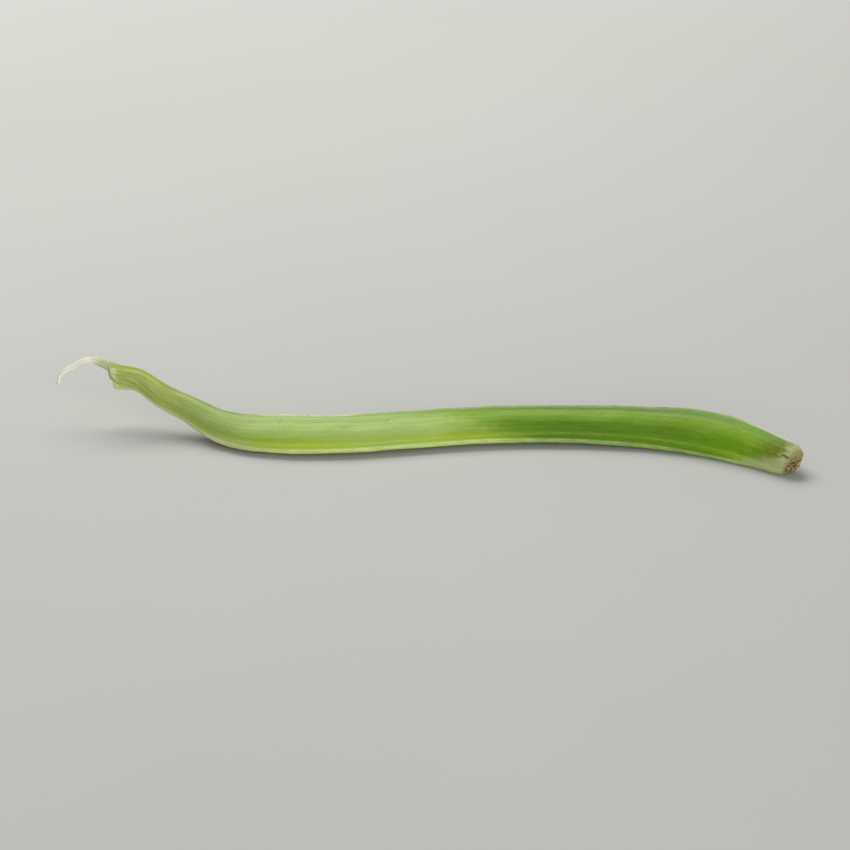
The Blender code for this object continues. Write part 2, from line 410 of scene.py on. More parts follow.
class Pod:
    """The pod's rings, and the masks that its material reads at each point of them."""

    def __init__(self):
        self.line = Line(POD_LINE)
        self.section, self.circle = full_section(POINTS_PER_SPAN)
        self.angle = np.arctan2(self.section[:, 1], self.section[:, 0])
        table = np.array(STATIONS)
        self.stations = natural_spline(table[:, 0], table[:, 1:])
        across = self.section[:, 0]
        self.shares = {
            "rail": nearness(self.section, *RAIL),
            "ledge": smooth_step(-across, *LEDGE_ZONE),
            "keel": smooth_step(-across, *KEEL_ZONE),
            "groove": nearness(self.section, *GROOVE),
            "valley": nearness(self.section, *VALLEY),
            "crease": nearness(self.section, *CREASE),
        }
        self.points = []
        names = ("straight", "across", "seed", "scar", "rim", "stain", "tear", *self.shares)
        self.masks = {name: [] for name in names}

    def station(self, distance):
        return self.stations(np.array([distance]))[0]

    def seed_swelling(self, distance):
        """The seeds' share at each point, from 0 between seeds to about 1 over one."""
        places = np.linspace(FIRST_SEED, LAST_SEED, SEED_COUNT)
        sizes = 1 - SEED_VARIETY * (1 - np.cos(SEED_TURN * np.arange(SEED_COUNT)))
        height = np.sum(sizes * hump(distance, places, SEED_SPREAD))
        return height * hump(self.section[:, 0], SEED_PLACE, SEED_REACH)

    def relief(self, distance, straight, scar):
        """The height of the fine relief over the plain shape at each point of a ring."""
        across, upper = self.section.T
        side = np.where(upper > 0, 1.0, 2.0)
        height = UNDULATION * wander(straight, UNDULATION_SIZE, 1)
        height = height + DIMPLES * wander(straight, DIMPLE_SIZE, 2)
        on_pod = 1 - smooth_step(distance, SHOULDER - BODY_FADE, SHOULDER)
        for i, (place, rise, spread) in enumerate(VEINS):
            along, vein = np.full_like(across, distance), np.full_like(across, i * VEINS_APART)
            sway = np.stack([along, side * SIDES_APART, vein], axis=1)
            middle = place + VEIN_WANDER * wander(sway, VEIN_SIZE, 3)
            height += on_pod * rise * hump(across, middle, spread)
        waver = RIDGE_WAVER * wander(straight, WAVER_SIZE, 4)
        waver = waver + RIDGE_BEADS * wander(straight, BEAD_SIZE, 5)
        height += np.maximum(self.shares["rail"], self.shares["keel"]) * waver * on_pod
        for place, spot, radius, depth in DENTS:
            if abs(distance - place) < DENT_REACH * radius:
                width = self.station(distance)[0]
                away = ((distance - place) ** 2 + ((across - spot) * width) ** 2) / radius**2
                height -= depth * np.exp(-away) * (upper > 0)
        neck = smooth_step(distance, *NECK_RIB_ZONE)
        phase = RIB_DRIFT * wander(straight, RIB_DRIFT_SIZE, 6)
        height += neck * on_pod * NECK_WRINKLES * np.cos(NECK_RIB_COUNT * self.angle + phase)
        end = 1 - smooth_step(distance, *END_RIB_ZONE)
        height += end * (1 - scar) * END_WRINKLES * np.cos(END_RIB_COUNT * self.angle + phase)
        height += scar * SCAR_ROUGHNESS * wander(straight, SCAR_GRAIN_SIZE, 7)
        style = smooth_step(distance, SHOULDER, STYLE_START + STYLE_RELIEF_RUN)
        height += style * STYLE_ROUGHNESS * wander(straight, STYLE_GRAIN_SIZE, 8)
        height += style * STYLE_RIBS * np.cos(STYLE_RIB_COUNT * self.angle + phase)
        return height

    def placed(self, distance, outline, roll, lag, settled):
        """The outline set across the line at that distance and rolled about it."""
        _, forward, wide, upper = self.line.at(distance)
        turn = np.radians(roll)
        rolled_wide = wide * np.cos(turn) + upper * np.sin(turn) + forward * lag
        rolled_upper = upper * np.cos(turn) - wide * np.sin(turn)
        return outline[:, :1] * rolled_wide + outline[:, 1:] * rolled_upper + settled

    def settled(self, distance):
        """The line's point there, lowered or raised so that the resting part just touches the surface."""
        centre = self.line.at(distance)[0]
        width, thickness, roll, shift, _ = self.station(np.clip(distance, END_LENGTH, REST_END))
        outline = self.section * (width, thickness) - (shift, 0.0)
        turn = np.radians(roll)
        lowest = np.min(outline[:, 0] * np.sin(turn) + outline[:, 1] * np.cos(turn))
        free = smooth_step(distance, REST_END, RISE_END)
        height = centre[2] * free + (-lowest - PRESS) * (1 - free)
        return np.array([centre[0], centre[1], height])

    def style_outline(self, distance):
        places, radii = np.array(STYLE).T
        left = places[-1] - distance
        tip = np.sqrt(1 - (1 - min(left / STYLE_TIP, 1.0)) ** 2)
        return self.circle * np.interp(distance, places, radii) * max(tip, STYLE_END)

    def add_ring(self, distance, width, thickness, roundness, shift, lag, roll, scar, rim):
        """One ring with its relief, and its masks."""
        shape = self.section + (self.circle - self.section) * roundness
        outline = shape * (width, thickness)
        seed = self.seed_swelling(distance)
        outline[:, 1] += SEED_HEIGHT * seed * self.section[:, 1]
        style = self.style_share(distance)
        body = 1 - style
        outline = (outline - (shift, 0.0)) * body[:, None] + self.style_outline(distance) * style[:, None]
        straight = np.column_stack([np.full(len(outline), distance), outline])
        outline = outline + outward(outline) * self.relief(distance, straight, scar)[:, None]
        self.points.append(self.placed(distance, outline, roll, lag, self.settled(distance)))
        self.masks["straight"].append(straight)
        self.masks["across"].append(self.section[:, 0] * body)
        for name, share in (("seed", seed), *self.shares.items()):
            self.masks[name].append(share * (1 - scar) * body)
        self.masks["scar"].append(np.full(len(outline), scar))
        self.masks["rim"].append(np.full(len(outline), rim))
        self.masks["stain"].append(self.stain(distance))
        self.masks["tear"].append(self.tear(distance, style))

    def stain(self, distance):
        """The thin brown crack that runs from the scar along the upper broad side."""
        length = smooth_step(distance, *STAIN_START) * (1 - smooth_step(distance, *STAIN_FADE))
        sway = STAIN_SWAY * sum(share * np.sin(turn * distance) for turn, share in STAIN_WAVES)
        return length * hump(self.section[:, 0], STAIN_PLACE + sway, STAIN_SPREAD) * (self.section[:, 1] > 0)

    def tear(self, distance, style):
        """The torn edge round the style: the shoulder's step, and the teeth that stand out past it."""
        seam = smooth_step(self.section[:, 0], *SEAM_PLACE)
        before, after = TEAR_REACH
        left = 1 - smooth_step(style, *TEAR_ENDS)
        step = smooth_step(style, *TEAR_BEGINS) * left
        teeth = smooth_step(distance, SHOULDER + before, SHOULDER + after) * left
        return np.maximum(step, teeth) * (1 - SEAM_LACKS * seam)

    def style_share(self, distance):
        """How far each point has gone from the pod's section to the style's, with the torn edge."""
        across = self.section[:, 0]
        seam = smooth_step(across, *SEAM_PLACE)
        reach = sum(length * hump(across, place, spread) for place, length, spread in TEETH)
        (large, few), (small, many) = RAGGED_LARGE, RAGGED_SMALL
        ragged = large * np.cos(few * self.angle) + small * np.sin(many * self.angle)
        here = distance - (reach + ragged) * (1 - seam)
        return smooth_step(here, SHOULDER - SEAM_RUN * seam, STYLE_START + SEAM_RUN * seam)

    def add_stalk_end(self):
        """The rings from the bottom of the scar's pit to the pod's side, on a smooth curve."""
        join = [(d, *self.station(d)[:2], 0.0, 0.0) for d in (END_LENGTH, END_LENGTH + 2.0)]
        rows = np.array(STALK_END + tuple(join))
        curve = natural_spline(np.arange(len(rows), dtype=float), rows)
        last = len(STALK_END)
        for place in np.linspace(0.0, last, STALK_END_RINGS, endpoint=False):
            distance, width, thickness, roundness, shift = curve(np.array([place]))[0]
            _, _, roll, _, lag = self.station(max(distance, 0.0))
            scar = 1 - smooth_step(place, *SCAR_FADE)
            rim = 1 - smooth_step(place, *RIM_FADE)
            self.add_ring(distance, width, thickness, roundness, shift, lag, roll, scar, rim)

    def add_body_ring(self, distance):
        width, thickness, roll, shift, lag = self.station(distance)
        self.add_ring(distance, width, thickness, 0.0, shift, lag, roll, 0.0, 0.0)

    def make(self):
        self.add_stalk_end()
        end = STYLE[-1][0]
        fine_start, fine_end = SHOULDER - SHOULDER_REACH, STYLE_START + SHOULDER_REACH
        body = np.arange(END_LENGTH, fine_start, BODY_STEP)
        shoulder = np.arange(fine_start, fine_end, SHOULDER_STEP)
        style = np.arange(fine_end, end - STYLE_TIP, STYLE_STEP)
        tip = end - STYLE_TIP * np.array(TIP_RINGS)
        for distance in np.concatenate([body, shoulder, style, tip]):
            self.add_body_ring(distance)
        rings = np.array(self.points)
        rings[:, :, 2] = np.maximum(rings[:, :, 2], 0.0)
        return rings


def centred(rings):
    """The rings moved so that the middle of the pod's box is over the origin."""
    middle = (rings.min(axis=(0, 1)) + rings.max(axis=(0, 1))) / 2
    return rings - (middle[0], middle[1], 0.0)


def lofted_mesh(name, tubes):
    """A smooth mesh that joins each tube's rings in turn, with a face over the first and the last one."""
    faces = []
    start = 0
    for rings in tubes:
        count, around = rings.shape[:2]
        index = np.arange(start, start + count * around).reshape(count, around)
        beside = np.roll(index, -1, axis=1)
        quads = np.stack([index[:-1], index[1:], beside[1:], beside[:-1]], axis=2).reshape(-1, 4)
        faces += quads.tolist() + [index[0].tolist(), index[-1][::-1].tolist()]
        start += count * around
    points = np.concatenate([rings.reshape(-1, 3) for rings in tubes])
    mesh = bpy.data.meshes.new(name)
    mesh.from_pydata((points * MM).tolist(), [], faces)
    mesh.shade_smooth()
    return mesh


def store(mesh, name, values):
    """Keeps one number or one vector for each point of the mesh, under this name."""
    kind, field = ("FLOAT_VECTOR", "vector") if values.ndim == 2 else ("FLOAT", "value")
    attribute = mesh.attributes.new(name, kind, "POINT")
    attribute.data.foreach_set(field, values.astype(np.float32).ravel())


def store_unwrapped(mesh, around):
    """A UV map that unrolls the pod, with its length along U."""
    layer = mesh.uv_layers.new(name="unrolled")
    corners = np.empty(len(mesh.loops), dtype=np.int64)
    mesh.loops.foreach_get("vertex_index", corners)
    ring, place = corners // around, (corners % around).astype(float)
    starts = np.empty(len(mesh.polygons), dtype=np.int64)
    sizes = np.empty(len(mesh.polygons), dtype=np.int64)
    mesh.polygons.foreach_get("loop_start", starts)
    mesh.polygons.foreach_get("loop_total", sizes)
    for start in starts[sizes == 4]:
        if place[start : start + 4].max() - place[start : start + 4].min() > 1:
            wrapped = place[start : start + 4]
            wrapped[wrapped == 0] = around
    last = ring.max()
    layer.data.foreach_set("uv", np.column_stack([ring / last, place / around]).ravel())


def linear(red, green, blue):
    """A colour given as 0 to 255 values of a screen, as Blender's linear colour."""
    screen = np.array((red, green, blue)) / 255
    value = np.where(screen <= 0.04045, screen / 12.92, ((screen + 0.055) / 1.055) ** 2.4)
    return (*value.tolist(), 1.0)


class Nodes:
    """Short calls that build one material's nodes. Each gives the socket that the next one reads."""

    def __init__(self, name):
        self.material = bpy.data.materials.new(name)
        self.material.use_nodes = True
        self.tree = self.material.node_tree
        self.shader = self.tree.nodes["Principled BSDF"]

    def add(self, kind, **settings):
        node = self.tree.nodes.new(kind)
        for key, value in settings.items():
            setattr(node, key, value)
        return node

    def put(self, socket, value):
        if isinstance(value, bpy.types.NodeSocket):
            self.tree.links.new(value, socket)
        else:
            socket.default_value = value

    def stored(self, name):
        return self.add("ShaderNodeAttribute", attribute_name=name).outputs["Fac"]

    def stored_vector(self, name):
        return self.add("ShaderNodeAttribute", attribute_name=name).outputs["Vector"]

    def math(self, operation, a, b=0.0, clamp=False):
        node = self.add("ShaderNodeMath", operation=operation, use_clamp=clamp)
        self.put(node.inputs[0], a)
        self.put(node.inputs[1], b)
        return node.outputs[0]

    def stretched(self, vector, by):
        node = self.add("ShaderNodeVectorMath", operation="MULTIPLY")
        self.put(node.inputs[0], vector)
        node.inputs[1].default_value = by
        return node.outputs[0]

    def noise(self, vector, scale, detail=3.0, roughness=0.55):
        node = self.add("ShaderNodeTexNoise")
        self.put(node.inputs["Vector"], vector)
        for key, value in (("Scale", scale), ("Detail", detail), ("Roughness", roughness)):
            node.inputs[key].default_value = value
        return node.outputs["Fac"]

    def drawn_out(self, vector, along, across, detail=3.0, roughness=0.55):
        """Noise with so many features a millimetre along the pod and across it."""
        return self.noise(self.stretched(vector, (along, across, across)), 1.0, detail, roughness)

    def spots(self, vector, scale):
        """The distance to the nearest of many scattered points."""
        node = self.add("ShaderNodeTexVoronoi", feature="F1")
        self.put(node.inputs["Vector"], vector)
        node.inputs["Scale"].default_value = scale
        return node.outputs["Distance"]

    def rise(self, value, low, high, to_low=0.0, to_high=1.0):
        """A smooth step of the value between low and high."""
        node = self.add("ShaderNodeMapRange", interpolation_type="SMOOTHSTEP")
        self.put(node.inputs["Value"], value)
        for key, number in (("From Min", low), ("From Max", high), ("To Min", to_low), ("To Max", to_high)):
            node.inputs[key].default_value = number
        return node.outputs["Result"]

    def fall(self, value, low, high, first=1.0):
        """A smooth step down to nothing."""
        return self.rise(value, low, high, first, 0.0)

    def ramp(self, value, *stops):
        node = self.add("ShaderNodeValToRGB")
        self.put(node.inputs["Fac"], value)
        elements = node.color_ramp.elements
        while len(elements) < len(stops):
            elements.new(0.5)
        for element, (place, colour) in zip(elements, stops):
            element.position = place
            element.color = colour
        return node.outputs["Color"]

    def mix(self, share, a, b, blend="MIX"):
        node = self.add("ShaderNodeMix", data_type="RGBA", blend_type=blend)
        self.put(node.inputs["Factor"], share)
        self.put(node.inputs[6], a)
        self.put(node.inputs[7], b)
        return node.outputs[2]

    def bump(self, height, distance, strength=1.0, normal=None):
        node = self.add("ShaderNodeBump")
        self.put(node.inputs["Height"], height)
        node.inputs["Distance"].default_value = distance
        node.inputs["Strength"].default_value = strength
        if normal is not None:
            self.put(node.inputs["Normal"], normal)
        return node.outputs["Normal"]


# Colours of the skin, the dry parts and the floor, as a screen shows them.
# The deepest green in the middle: partly the skin's own colour, partly painted shade.
DEEPEST_GREEN_AND_SHADE = linear(64, 104, 0)
RICH_DEEP = linear(80, 121, 0)
RICH_MIDDLE = linear(96, 138, 0)
RICH_LIGHT = linear(120, 158, 12)
# Painted light for the upper face of the rich green.
RICH_PAINTED_LIGHT = linear(130, 163, 18)
MILD_DEEP = linear(138, 164, 20)
MILD_MIDDLE = linear(156, 181, 30)
MILD_LIGHT = linear(172, 194, 54)
# Pale wax bloom; on the raised part it is also painted sheen.
BLOOM = linear(170, 194, 128)
# A painted highlight for the crease above the keel.
PAINTED_HIGHLIGHT_LINE = linear(176, 200, 70)
# Painted light for the ledge over the keel, which faces up.
PAINTED_LIGHT_LEDGE = linear(184, 204, 100)
# Painted shade below the double ridge, partly the darker skin beside it.
PAINTED_SHADE_BAND = linear(124, 150, 84)
FINE_DARK = linear(74, 104, 8)
FINE_PALE = linear(196, 214, 128)
# Painted shade for the valley beside the rail and for the groove between the double ridges.
VALLEY_PAINTED_SHADE = linear(92, 126, 46)
GROOVE_PAINTED_SHADE = linear(84, 120, 34)
RIM = linear(198, 216, 156)
RIM_GREY = linear(208, 212, 190)
# The keel's own pale colour, made paler still with painted light for its downward side.
PALE_KEEL_AND_PAINTED_LIGHT = linear(206, 220, 150)
SMUDGE = linear(92, 118, 16)
SPECK = linear(96, 92, 36)
END_GREY = linear(168, 175, 121)
END_OLIVE = linear(95, 108, 10)
END_STRAW = linear(150, 138, 84)
CRACK = linear(84, 74, 22)
NECK_GREEN = linear(138, 158, 84)
NECK_OLIVE = linear(151, 164, 76)
NECK_PALE = linear(178, 190, 108)
NECK_TAN = linear(168, 160, 92)
NECK_EDGE = linear(198, 203, 152)
STYLE_BASE = linear(186, 192, 146)
STYLE_CREAM = linear(242, 240, 228)
TORN_EDGE = linear(208, 216, 164)
STYLE_TAN = linear(190, 176, 134)
SCAR_BROWN = linear(126, 106, 62)
SCAR_DARK = linear(60, 44, 24)
SCAR_STRAW = linear(190, 180, 134)
FLOOR_DARK = linear(174, 174, 171)
FLOOR_LIGHT = linear(180, 180, 178)

# Zones along the pod: the distances between which each one grows, or fades where it says that it ends.
MILD_BEGINS = (70.0, 91.0)
DEEPEST_BEGINS = (14.0, 28.0)
DEEPEST_ENDS = (46.0, 64.0)
PALER_BEGINS = (63.0, 75.0)
PALER_ENDS = (78.0, 92.0)
PALE_RIDGES_END = (6.0, 18.0)
NECK_DULLS = (96.0, 108.0)
NECK_DRIES = (110.0, 125.0)
STYLE_BEGINS = (128.3, 130.1)
STYLE_PALES = (130.5, 133.5)
OLIVE_ENDS = (3.0, 9.0)
WHITE_RAIL_ENDS = (9.0, 16.0)
GREY_ENDS = (0.8, 3.0)

# Bands across it, in the same way: -1 is the keel and 1 the double ridge.
RAISED_BEGINS = (-0.60, -0.15)
# Where the painted light on the upper face lies.
LIT_BEGINS = (-0.40, 0.0)
LIT_ENDS = (0.30, 0.60)
# Where the band of painted shade below the double ridge lies.
PAINTED_SHADE_BEGINS = (0.0, 0.2)
PAINTED_SHADE_ENDS = (0.40, 0.58)
NECK_KEEL_ENDS = (-0.99, -0.88)
OLIVE_SIDE_ENDS = (0.48, 0.80)
GREY_SLANT_ENDS = (-0.45, 0.15)

# How far the noise moves those edges and how they slant, in millimetres along the pod.
MILD_PATCHES = 24.0
# The slant keeps the rich, deeper green further along on the double ridge's side: partly the skin's own
# colour, partly painted shade.
MILD_SLANT = -12.0
DEEPEST_MOTTLE = 6.0
RIDGES_MOTTLE = 4.0
NECK_PATCHES = 8.0
STYLE_MOTTLE = 2.5
STYLE_STREAKS = 2.0
OLIVE_MOTTLE = 6.0
GREY_MOTTLE = 4.0

# The same for the bands and for the masks, in their own measure.
RAISED_STREAKS = 0.4
GREY_SLANT = 0.085
GREY_SLANT_MOTTLE = 0.5
TEAR_STREAKS = 1.2
SCAR_RAGGED = 1.1

# The noise of the skin: features a millimetre along and across, then its detail and roughness.
PATCHES = (0.05, 0.22, 3.0)
STREAKS = (0.14, 2.4, 4.0, 0.6)
FIBROUS = (0.8, 9.0, 3.0, 0.6)
FINE = (0.5, 14.0, 3.0, 0.6)
RIDGE_GAPS = (0.4, 1.2, 3.0)
SMUDGES = (0.5, 0.9, 3.0)
FIBRE_LENGTHS = (1.5, 6.0, 3.0)

# The noise that is alike in all directions: features a millimetre, then its detail and roughness.
MOTTLE = (1.1, 4.0, 0.6)
GRAIN = (5.0, 3.0, 0.6)
SPECK_AREAS = (0.35, 1.0)
CRACK_GAPS = (1.3, 4.0, 0.7)
FLECKS = (2.6, 4.0, 0.7)
SCAR_EDGE = (1.7, 4.0, 0.65)
RIM_EDGE = (2.4, 4.0, 0.7)

# The specks: how they are drawn out, how many a millimetre, and their radius with its soft edge.
SPECK_STRETCH = (0.8, 1.0, 1.0)
SPECK_SCALE = 0.45
SPECK_SIZE = (0.05, 0.13)

# Where noise or a mask lays a colour on: the values that it grows between, and then its share at each.
FIBROUS_RISE = (0.42, 0.72)
FINE_DARK_RISE = (0.52, 0.70, 0.0, 0.20)
FINE_PALE_RISE = (0.48, 0.30, 0.0, 0.13)
RIDGE_GAPS_RISE = (0.30, 0.62, 0.55, 1.0)
RAIL_RISE = (0.10, 0.75)
KEEL_RISE = (0.05, 0.80)
SMUDGE_RISE = (0.54, 0.70, 0.0, 0.55)
SPECK_AREA_RISE = (0.58, 0.64, 0.0, 0.75)
NECK_PALE_RISE = (0.34, 0.66)
NECK_TAN_RISE = (0.46, 0.72, 0.0, 0.5)
NECK_RAIL_RISE = (0.10, 0.70)
THREAD_RISE = (0.46, 0.36, 0.0, 0.7)
STYLE_FINE_RISE = (0.50, 0.68, 0.0, 0.45)
TEAR_MASK_RISE = (0.15, 0.6)
TEAR_RISE = (0.55, 1.15, 0.0, 0.65)
END_RAIL_RISE = (0.25, 0.80)
CRACK_RISE = (0.15, 0.85)
CRACK_GAPS_RISE = (0.38, 0.55, 0.25, 0.95)
END_FLECKS_RISE = (0.38, 0.50)
RIM_RISE = (0.70, 1.20, 0.0, 0.85)
SCAR_RISE = (0.72, 0.98)

# The skin's tone: the shares of patches, streaks and mottle in it, and where each colour stands on it.
TONE_SHARES = (0.50, 0.35, 0.15)
TONE_STOPS = (0.33, 0.50, 0.67)
RICH = (RICH_DEEP, RICH_MIDDLE, RICH_LIGHT)
MILD = (MILD_DEEP, MILD_MIDDLE, MILD_LIGHT)

# The same for the scar and its fibres, on their own noise.
SCAR_STOPS = (0.36, 0.48, 0.62)
FIBRE_STOPS = (0.38, 0.50, 0.62)
DRY = (SCAR_DARK, SCAR_BROWN, SCAR_STRAW)

# Shares that grow from a least one, with the mild green or towards the stalk end. The first pair is for the
# wax bloom and painted sheen on the raised part, the last for the valleys' painted shade.
BLOOM_AND_SHEEN_LEAST, BLOOM_AND_SHEEN_MORE = 0.02, 0.61
RIDGES_LEAST, RIDGES_MORE = 0.45, 0.40
VALLEY_LEAST, VALLEY_MORE = 0.45, 0.25

# Roughness: the waxy skin's, by its mottle, what dry parts add, the neck's part of that, and the fibres'.
WAXY_ROUGHNESS = (0.3, 0.7, 0.46, 0.60)
DRY_ROUGHNESS = 0.30
NECK_DRYNESS = 0.4
FIBRE_ROUGHNESS = (0.3, 0.7, 0.7, 0.9)

# The height and the strength of the skin's bumps, in the order streaks, fibrous, fine and grain, and then
# of the fibres' bumps.
SKIN_BUMPS = ((0.08, 0.5), (0.04, 0.45), (0.03, 0.4), (0.02, 0.35))
FIBRE_BUMP = (0.02, 0.6)

# The skin's shine, and how light goes into it.
SPECULAR = 0.19
SUBSURFACE = 0.10
SUBSURFACE_REACH = (0.9, 1.0, 0.2)


class PodSkin(Nodes):
    """The pod's material: waxy green skin that goes to a dry neck, a cream style and a brown scar."""

    def __init__(self):
        super().__init__("pod_skin_fresh")
        self.straight = self.stored_vector("straight")
        split = self.add("ShaderNodeSeparateXYZ")
        self.put(split.inputs[0], self.straight)
        self.along = split.outputs["X"]
        self.across = self.stored("across")
        self.patches = self.drawn_out(self.straight, *PATCHES)
        self.streaks = self.drawn_out(self.straight, *STREAKS)
        self.fibrous = self.drawn_out(self.straight, *FIBROUS)
        self.fine = self.drawn_out(self.straight, *FINE)
        self.mottle = self.noise(self.straight, *MOTTLE)
        self.grain = self.noise(self.straight, *GRAIN)
        self.colour = None
        self.paint_skin()
        self.paint_ridges()
        self.paint_marks()
        neck, dry, scar = self.paint_neck(), self.paint_style(), self.paint_scar()
        self.put(self.shader.inputs["Base Color"], self.colour)
        self.finish(neck, dry, scar)

    def times(self, *values):
        product = values[0]
        for value in values[1:]:
            product = self.math("MULTIPLY", product, value)
        return product

    def plus(self, *values):
        total = values[0]
        for value in values[1:]:
            total = self.math("ADD", total, value)
        return total

    def moved(self, place, field, by):
        """The place, moved by this much of the field."""
        return self.plus(place, self.times(field, by))

    def band(self, place, begins, ends):
        """Full between the zone where the band begins and the one where it ends."""
        return self.times(self.rise(place, *begins), self.fall(place, *ends))

    def paint(self, share, colour, strength=None):
        """Lays this colour over what is there."""
        if strength is not None:
            share = self.times(share, strength)
        self.colour = self.mix(share, self.colour, colour)

    def paint_skin(self):
        """Rich green near the stalk, mild green past the middle, wax bloom and painted sheen on the raised
        part, and painted light and shade.
        """
        fields = (self.patches, self.streaks, self.mottle)
        tone = self.plus(*(self.times(field, share) for field, share in zip(fields, TONE_SHARES)))
        rich, mild = (self.ramp(tone, *zip(TONE_STOPS, colours)) for colours in (RICH, MILD))
        # The edge slants so that the double ridge's side stays rich green further along, partly as painted
        # shade.
        further = self.moved(self.moved(self.along, self.patches, MILD_PATCHES), self.across, MILD_SLANT)
        self.trend = self.rise(further, *MILD_BEGINS)
        self.colour = self.mix(self.trend, rich, mild)
        place = self.moved(self.along, self.mottle, DEEPEST_MOTTLE)
        # Deepest green in the middle of the rich part: partly the skin's own colour, partly painted shade.
        self.paint(self.band(place, DEEPEST_BEGINS, DEEPEST_ENDS), DEEPEST_GREEN_AND_SHADE, strength=0.55)
        self.paint(self.band(place, PALER_BEGINS, PALER_ENDS), BLOOM, strength=0.25)
        # Painted light: a lighter green on the upper face of the rich part.
        lit = self.band(self.across, LIT_BEGINS, LIT_ENDS)
        self.paint(self.times(lit, self.fall(self.trend, 0.0, 1.0, 0.45)), RICH_PAINTED_LIGHT)
        # Paler skin on the raised part: partly wax bloom, partly painted sheen.
        raised = self.rise(self.moved(self.across, self.streaks, RAISED_STREAKS), *RAISED_BEGINS)
        self.paint(self.times(raised, self.plus(self.times(self.trend, BLOOM_AND_SHEEN_MORE), BLOOM_AND_SHEEN_LEAST)), BLOOM)
        # A band of painted shade below the double ridge, partly the darker skin beside it.
        line = self.band(self.across, PAINTED_SHADE_BEGINS, PAINTED_SHADE_ENDS)
        self.paint(self.times(line, self.trend), PAINTED_SHADE_BAND, strength=0.5)
        self.paint(self.times(self.rise(self.fibrous, *FIBROUS_RISE), self.trend), BLOOM, strength=0.18)
        self.paint(self.rise(self.fine, *FINE_DARK_RISE), FINE_DARK)
        self.paint(self.rise(self.fine, *FINE_PALE_RISE), FINE_PALE)

    def paint_ridges(self):
        """Pale ridges with painted shade in their groove and valleys; a pale keel, partly painted light,
        with painted light and a painted highlight above it.
        """
        broken = self.rise(self.drawn_out(self.straight, *RIDGE_GAPS), *RIDGE_GAPS_RISE)
        end = self.fall(self.moved(self.along, self.mottle, RIDGES_MOTTLE), *PALE_RIDGES_END)
        pale = self.plus(self.times(self.trend, RIDGES_MORE), self.times(end, RIDGES_MORE), RIDGES_LEAST)
        dark = self.plus(self.times(end, VALLEY_MORE), VALLEY_LEAST)
        # Painted shade in the valley beside the rail.
        self.paint(self.times(self.stored("valley"), dark), VALLEY_PAINTED_SHADE)
        # Painted light on the ledge over the keel, which faces up.
        self.paint(self.times(self.stored("ledge"), self.plus(self.trend, end)), PAINTED_LIGHT_LEDGE, strength=0.15)
        # Painted highlight along the crease above the keel, broken by gaps.
        self.paint(self.times(self.stored("crease"), broken), PAINTED_HIGHLIGHT_LINE, strength=0.30)
        # Painted shade in the groove between the double ridges.
        self.paint(self.stored("groove"), GROOVE_PAINTED_SHADE, strength=0.65)
        rail = self.rise(self.stored("rail"), *RAIL_RISE)
        self.paint(self.times(rail, broken, pale), self.mix(end, RIM, RIM_GREY))
        keel = self.rise(self.stored("keel"), *KEEL_RISE)
        # The pale keel: its own colour, and painted light on its downward side.
        self.paint(self.times(keel, broken, pale), PALE_KEEL_AND_PAINTED_LIGHT)

    def paint_marks(self):
        """Olive smudges over the seeds, and a few brown specks."""
        smudge = self.rise(self.drawn_out(self.straight, *SMUDGES), *SMUDGE_RISE)
        self.paint(self.times(self.stored("seed"), smudge), SMUDGE)
        speck = self.fall(self.spots(self.stretched(self.straight, SPECK_STRETCH), SPECK_SCALE), *SPECK_SIZE)
        here = self.rise(self.noise(self.straight, *SPECK_AREAS), *SPECK_AREA_RISE)
        self.paint(self.times(speck, here), SPECK)

    def paint_neck(self):
        """The drying neck: olive, with pale ribs, tan patches and cream lines along its two edges."""
        place = self.moved(self.along, self.patches, NECK_PATCHES)
        duller = self.rise(place, *NECK_DULLS)
        self.paint(duller, NECK_GREEN, strength=0.75)
        share = self.rise(place, *NECK_DRIES)
        neck = self.mix(self.rise(self.streaks, *NECK_PALE_RISE), NECK_OLIVE, NECK_PALE)
        neck = self.mix(self.rise(self.mottle, *NECK_TAN_RISE), neck, NECK_TAN)
        self.paint(share, neck, strength=0.92)
        rail = self.rise(self.stored("rail"), *NECK_RAIL_RISE)
        self.paint(self.times(share, rail), TORN_EDGE, strength=0.75)
        keel = self.fall(self.across, *NECK_KEEL_ENDS)
        self.paint(self.times(duller, keel), NECK_EDGE, strength=0.85)
        return share

    def paint_style(self):
        """The dry style, greyish at its root and then cream with tan threads, and its torn edge."""
        share = self.rise(self.moved(self.along, self.mottle, STYLE_MOTTLE), *STYLE_BEGINS)
        pale = self.rise(self.moved(self.along, self.streaks, STYLE_STREAKS), *STYLE_PALES)
        threads = self.rise(self.streaks, *THREAD_RISE)
        self.paint(share, self.mix(threads, self.mix(pale, STYLE_BASE, STYLE_CREAM), STYLE_TAN))
        self.paint(self.times(share, self.rise(self.fine, *STYLE_FINE_RISE)), STYLE_TAN)
        tear = self.stored("tear")
        torn = self.moved(tear, self.plus(self.streaks, -0.5), TEAR_STREAKS)
        near = self.rise(tear, *TEAR_MASK_RISE)
        self.paint(self.times(near, self.rise(torn, *TEAR_RISE)), TORN_EDGE)
        return share

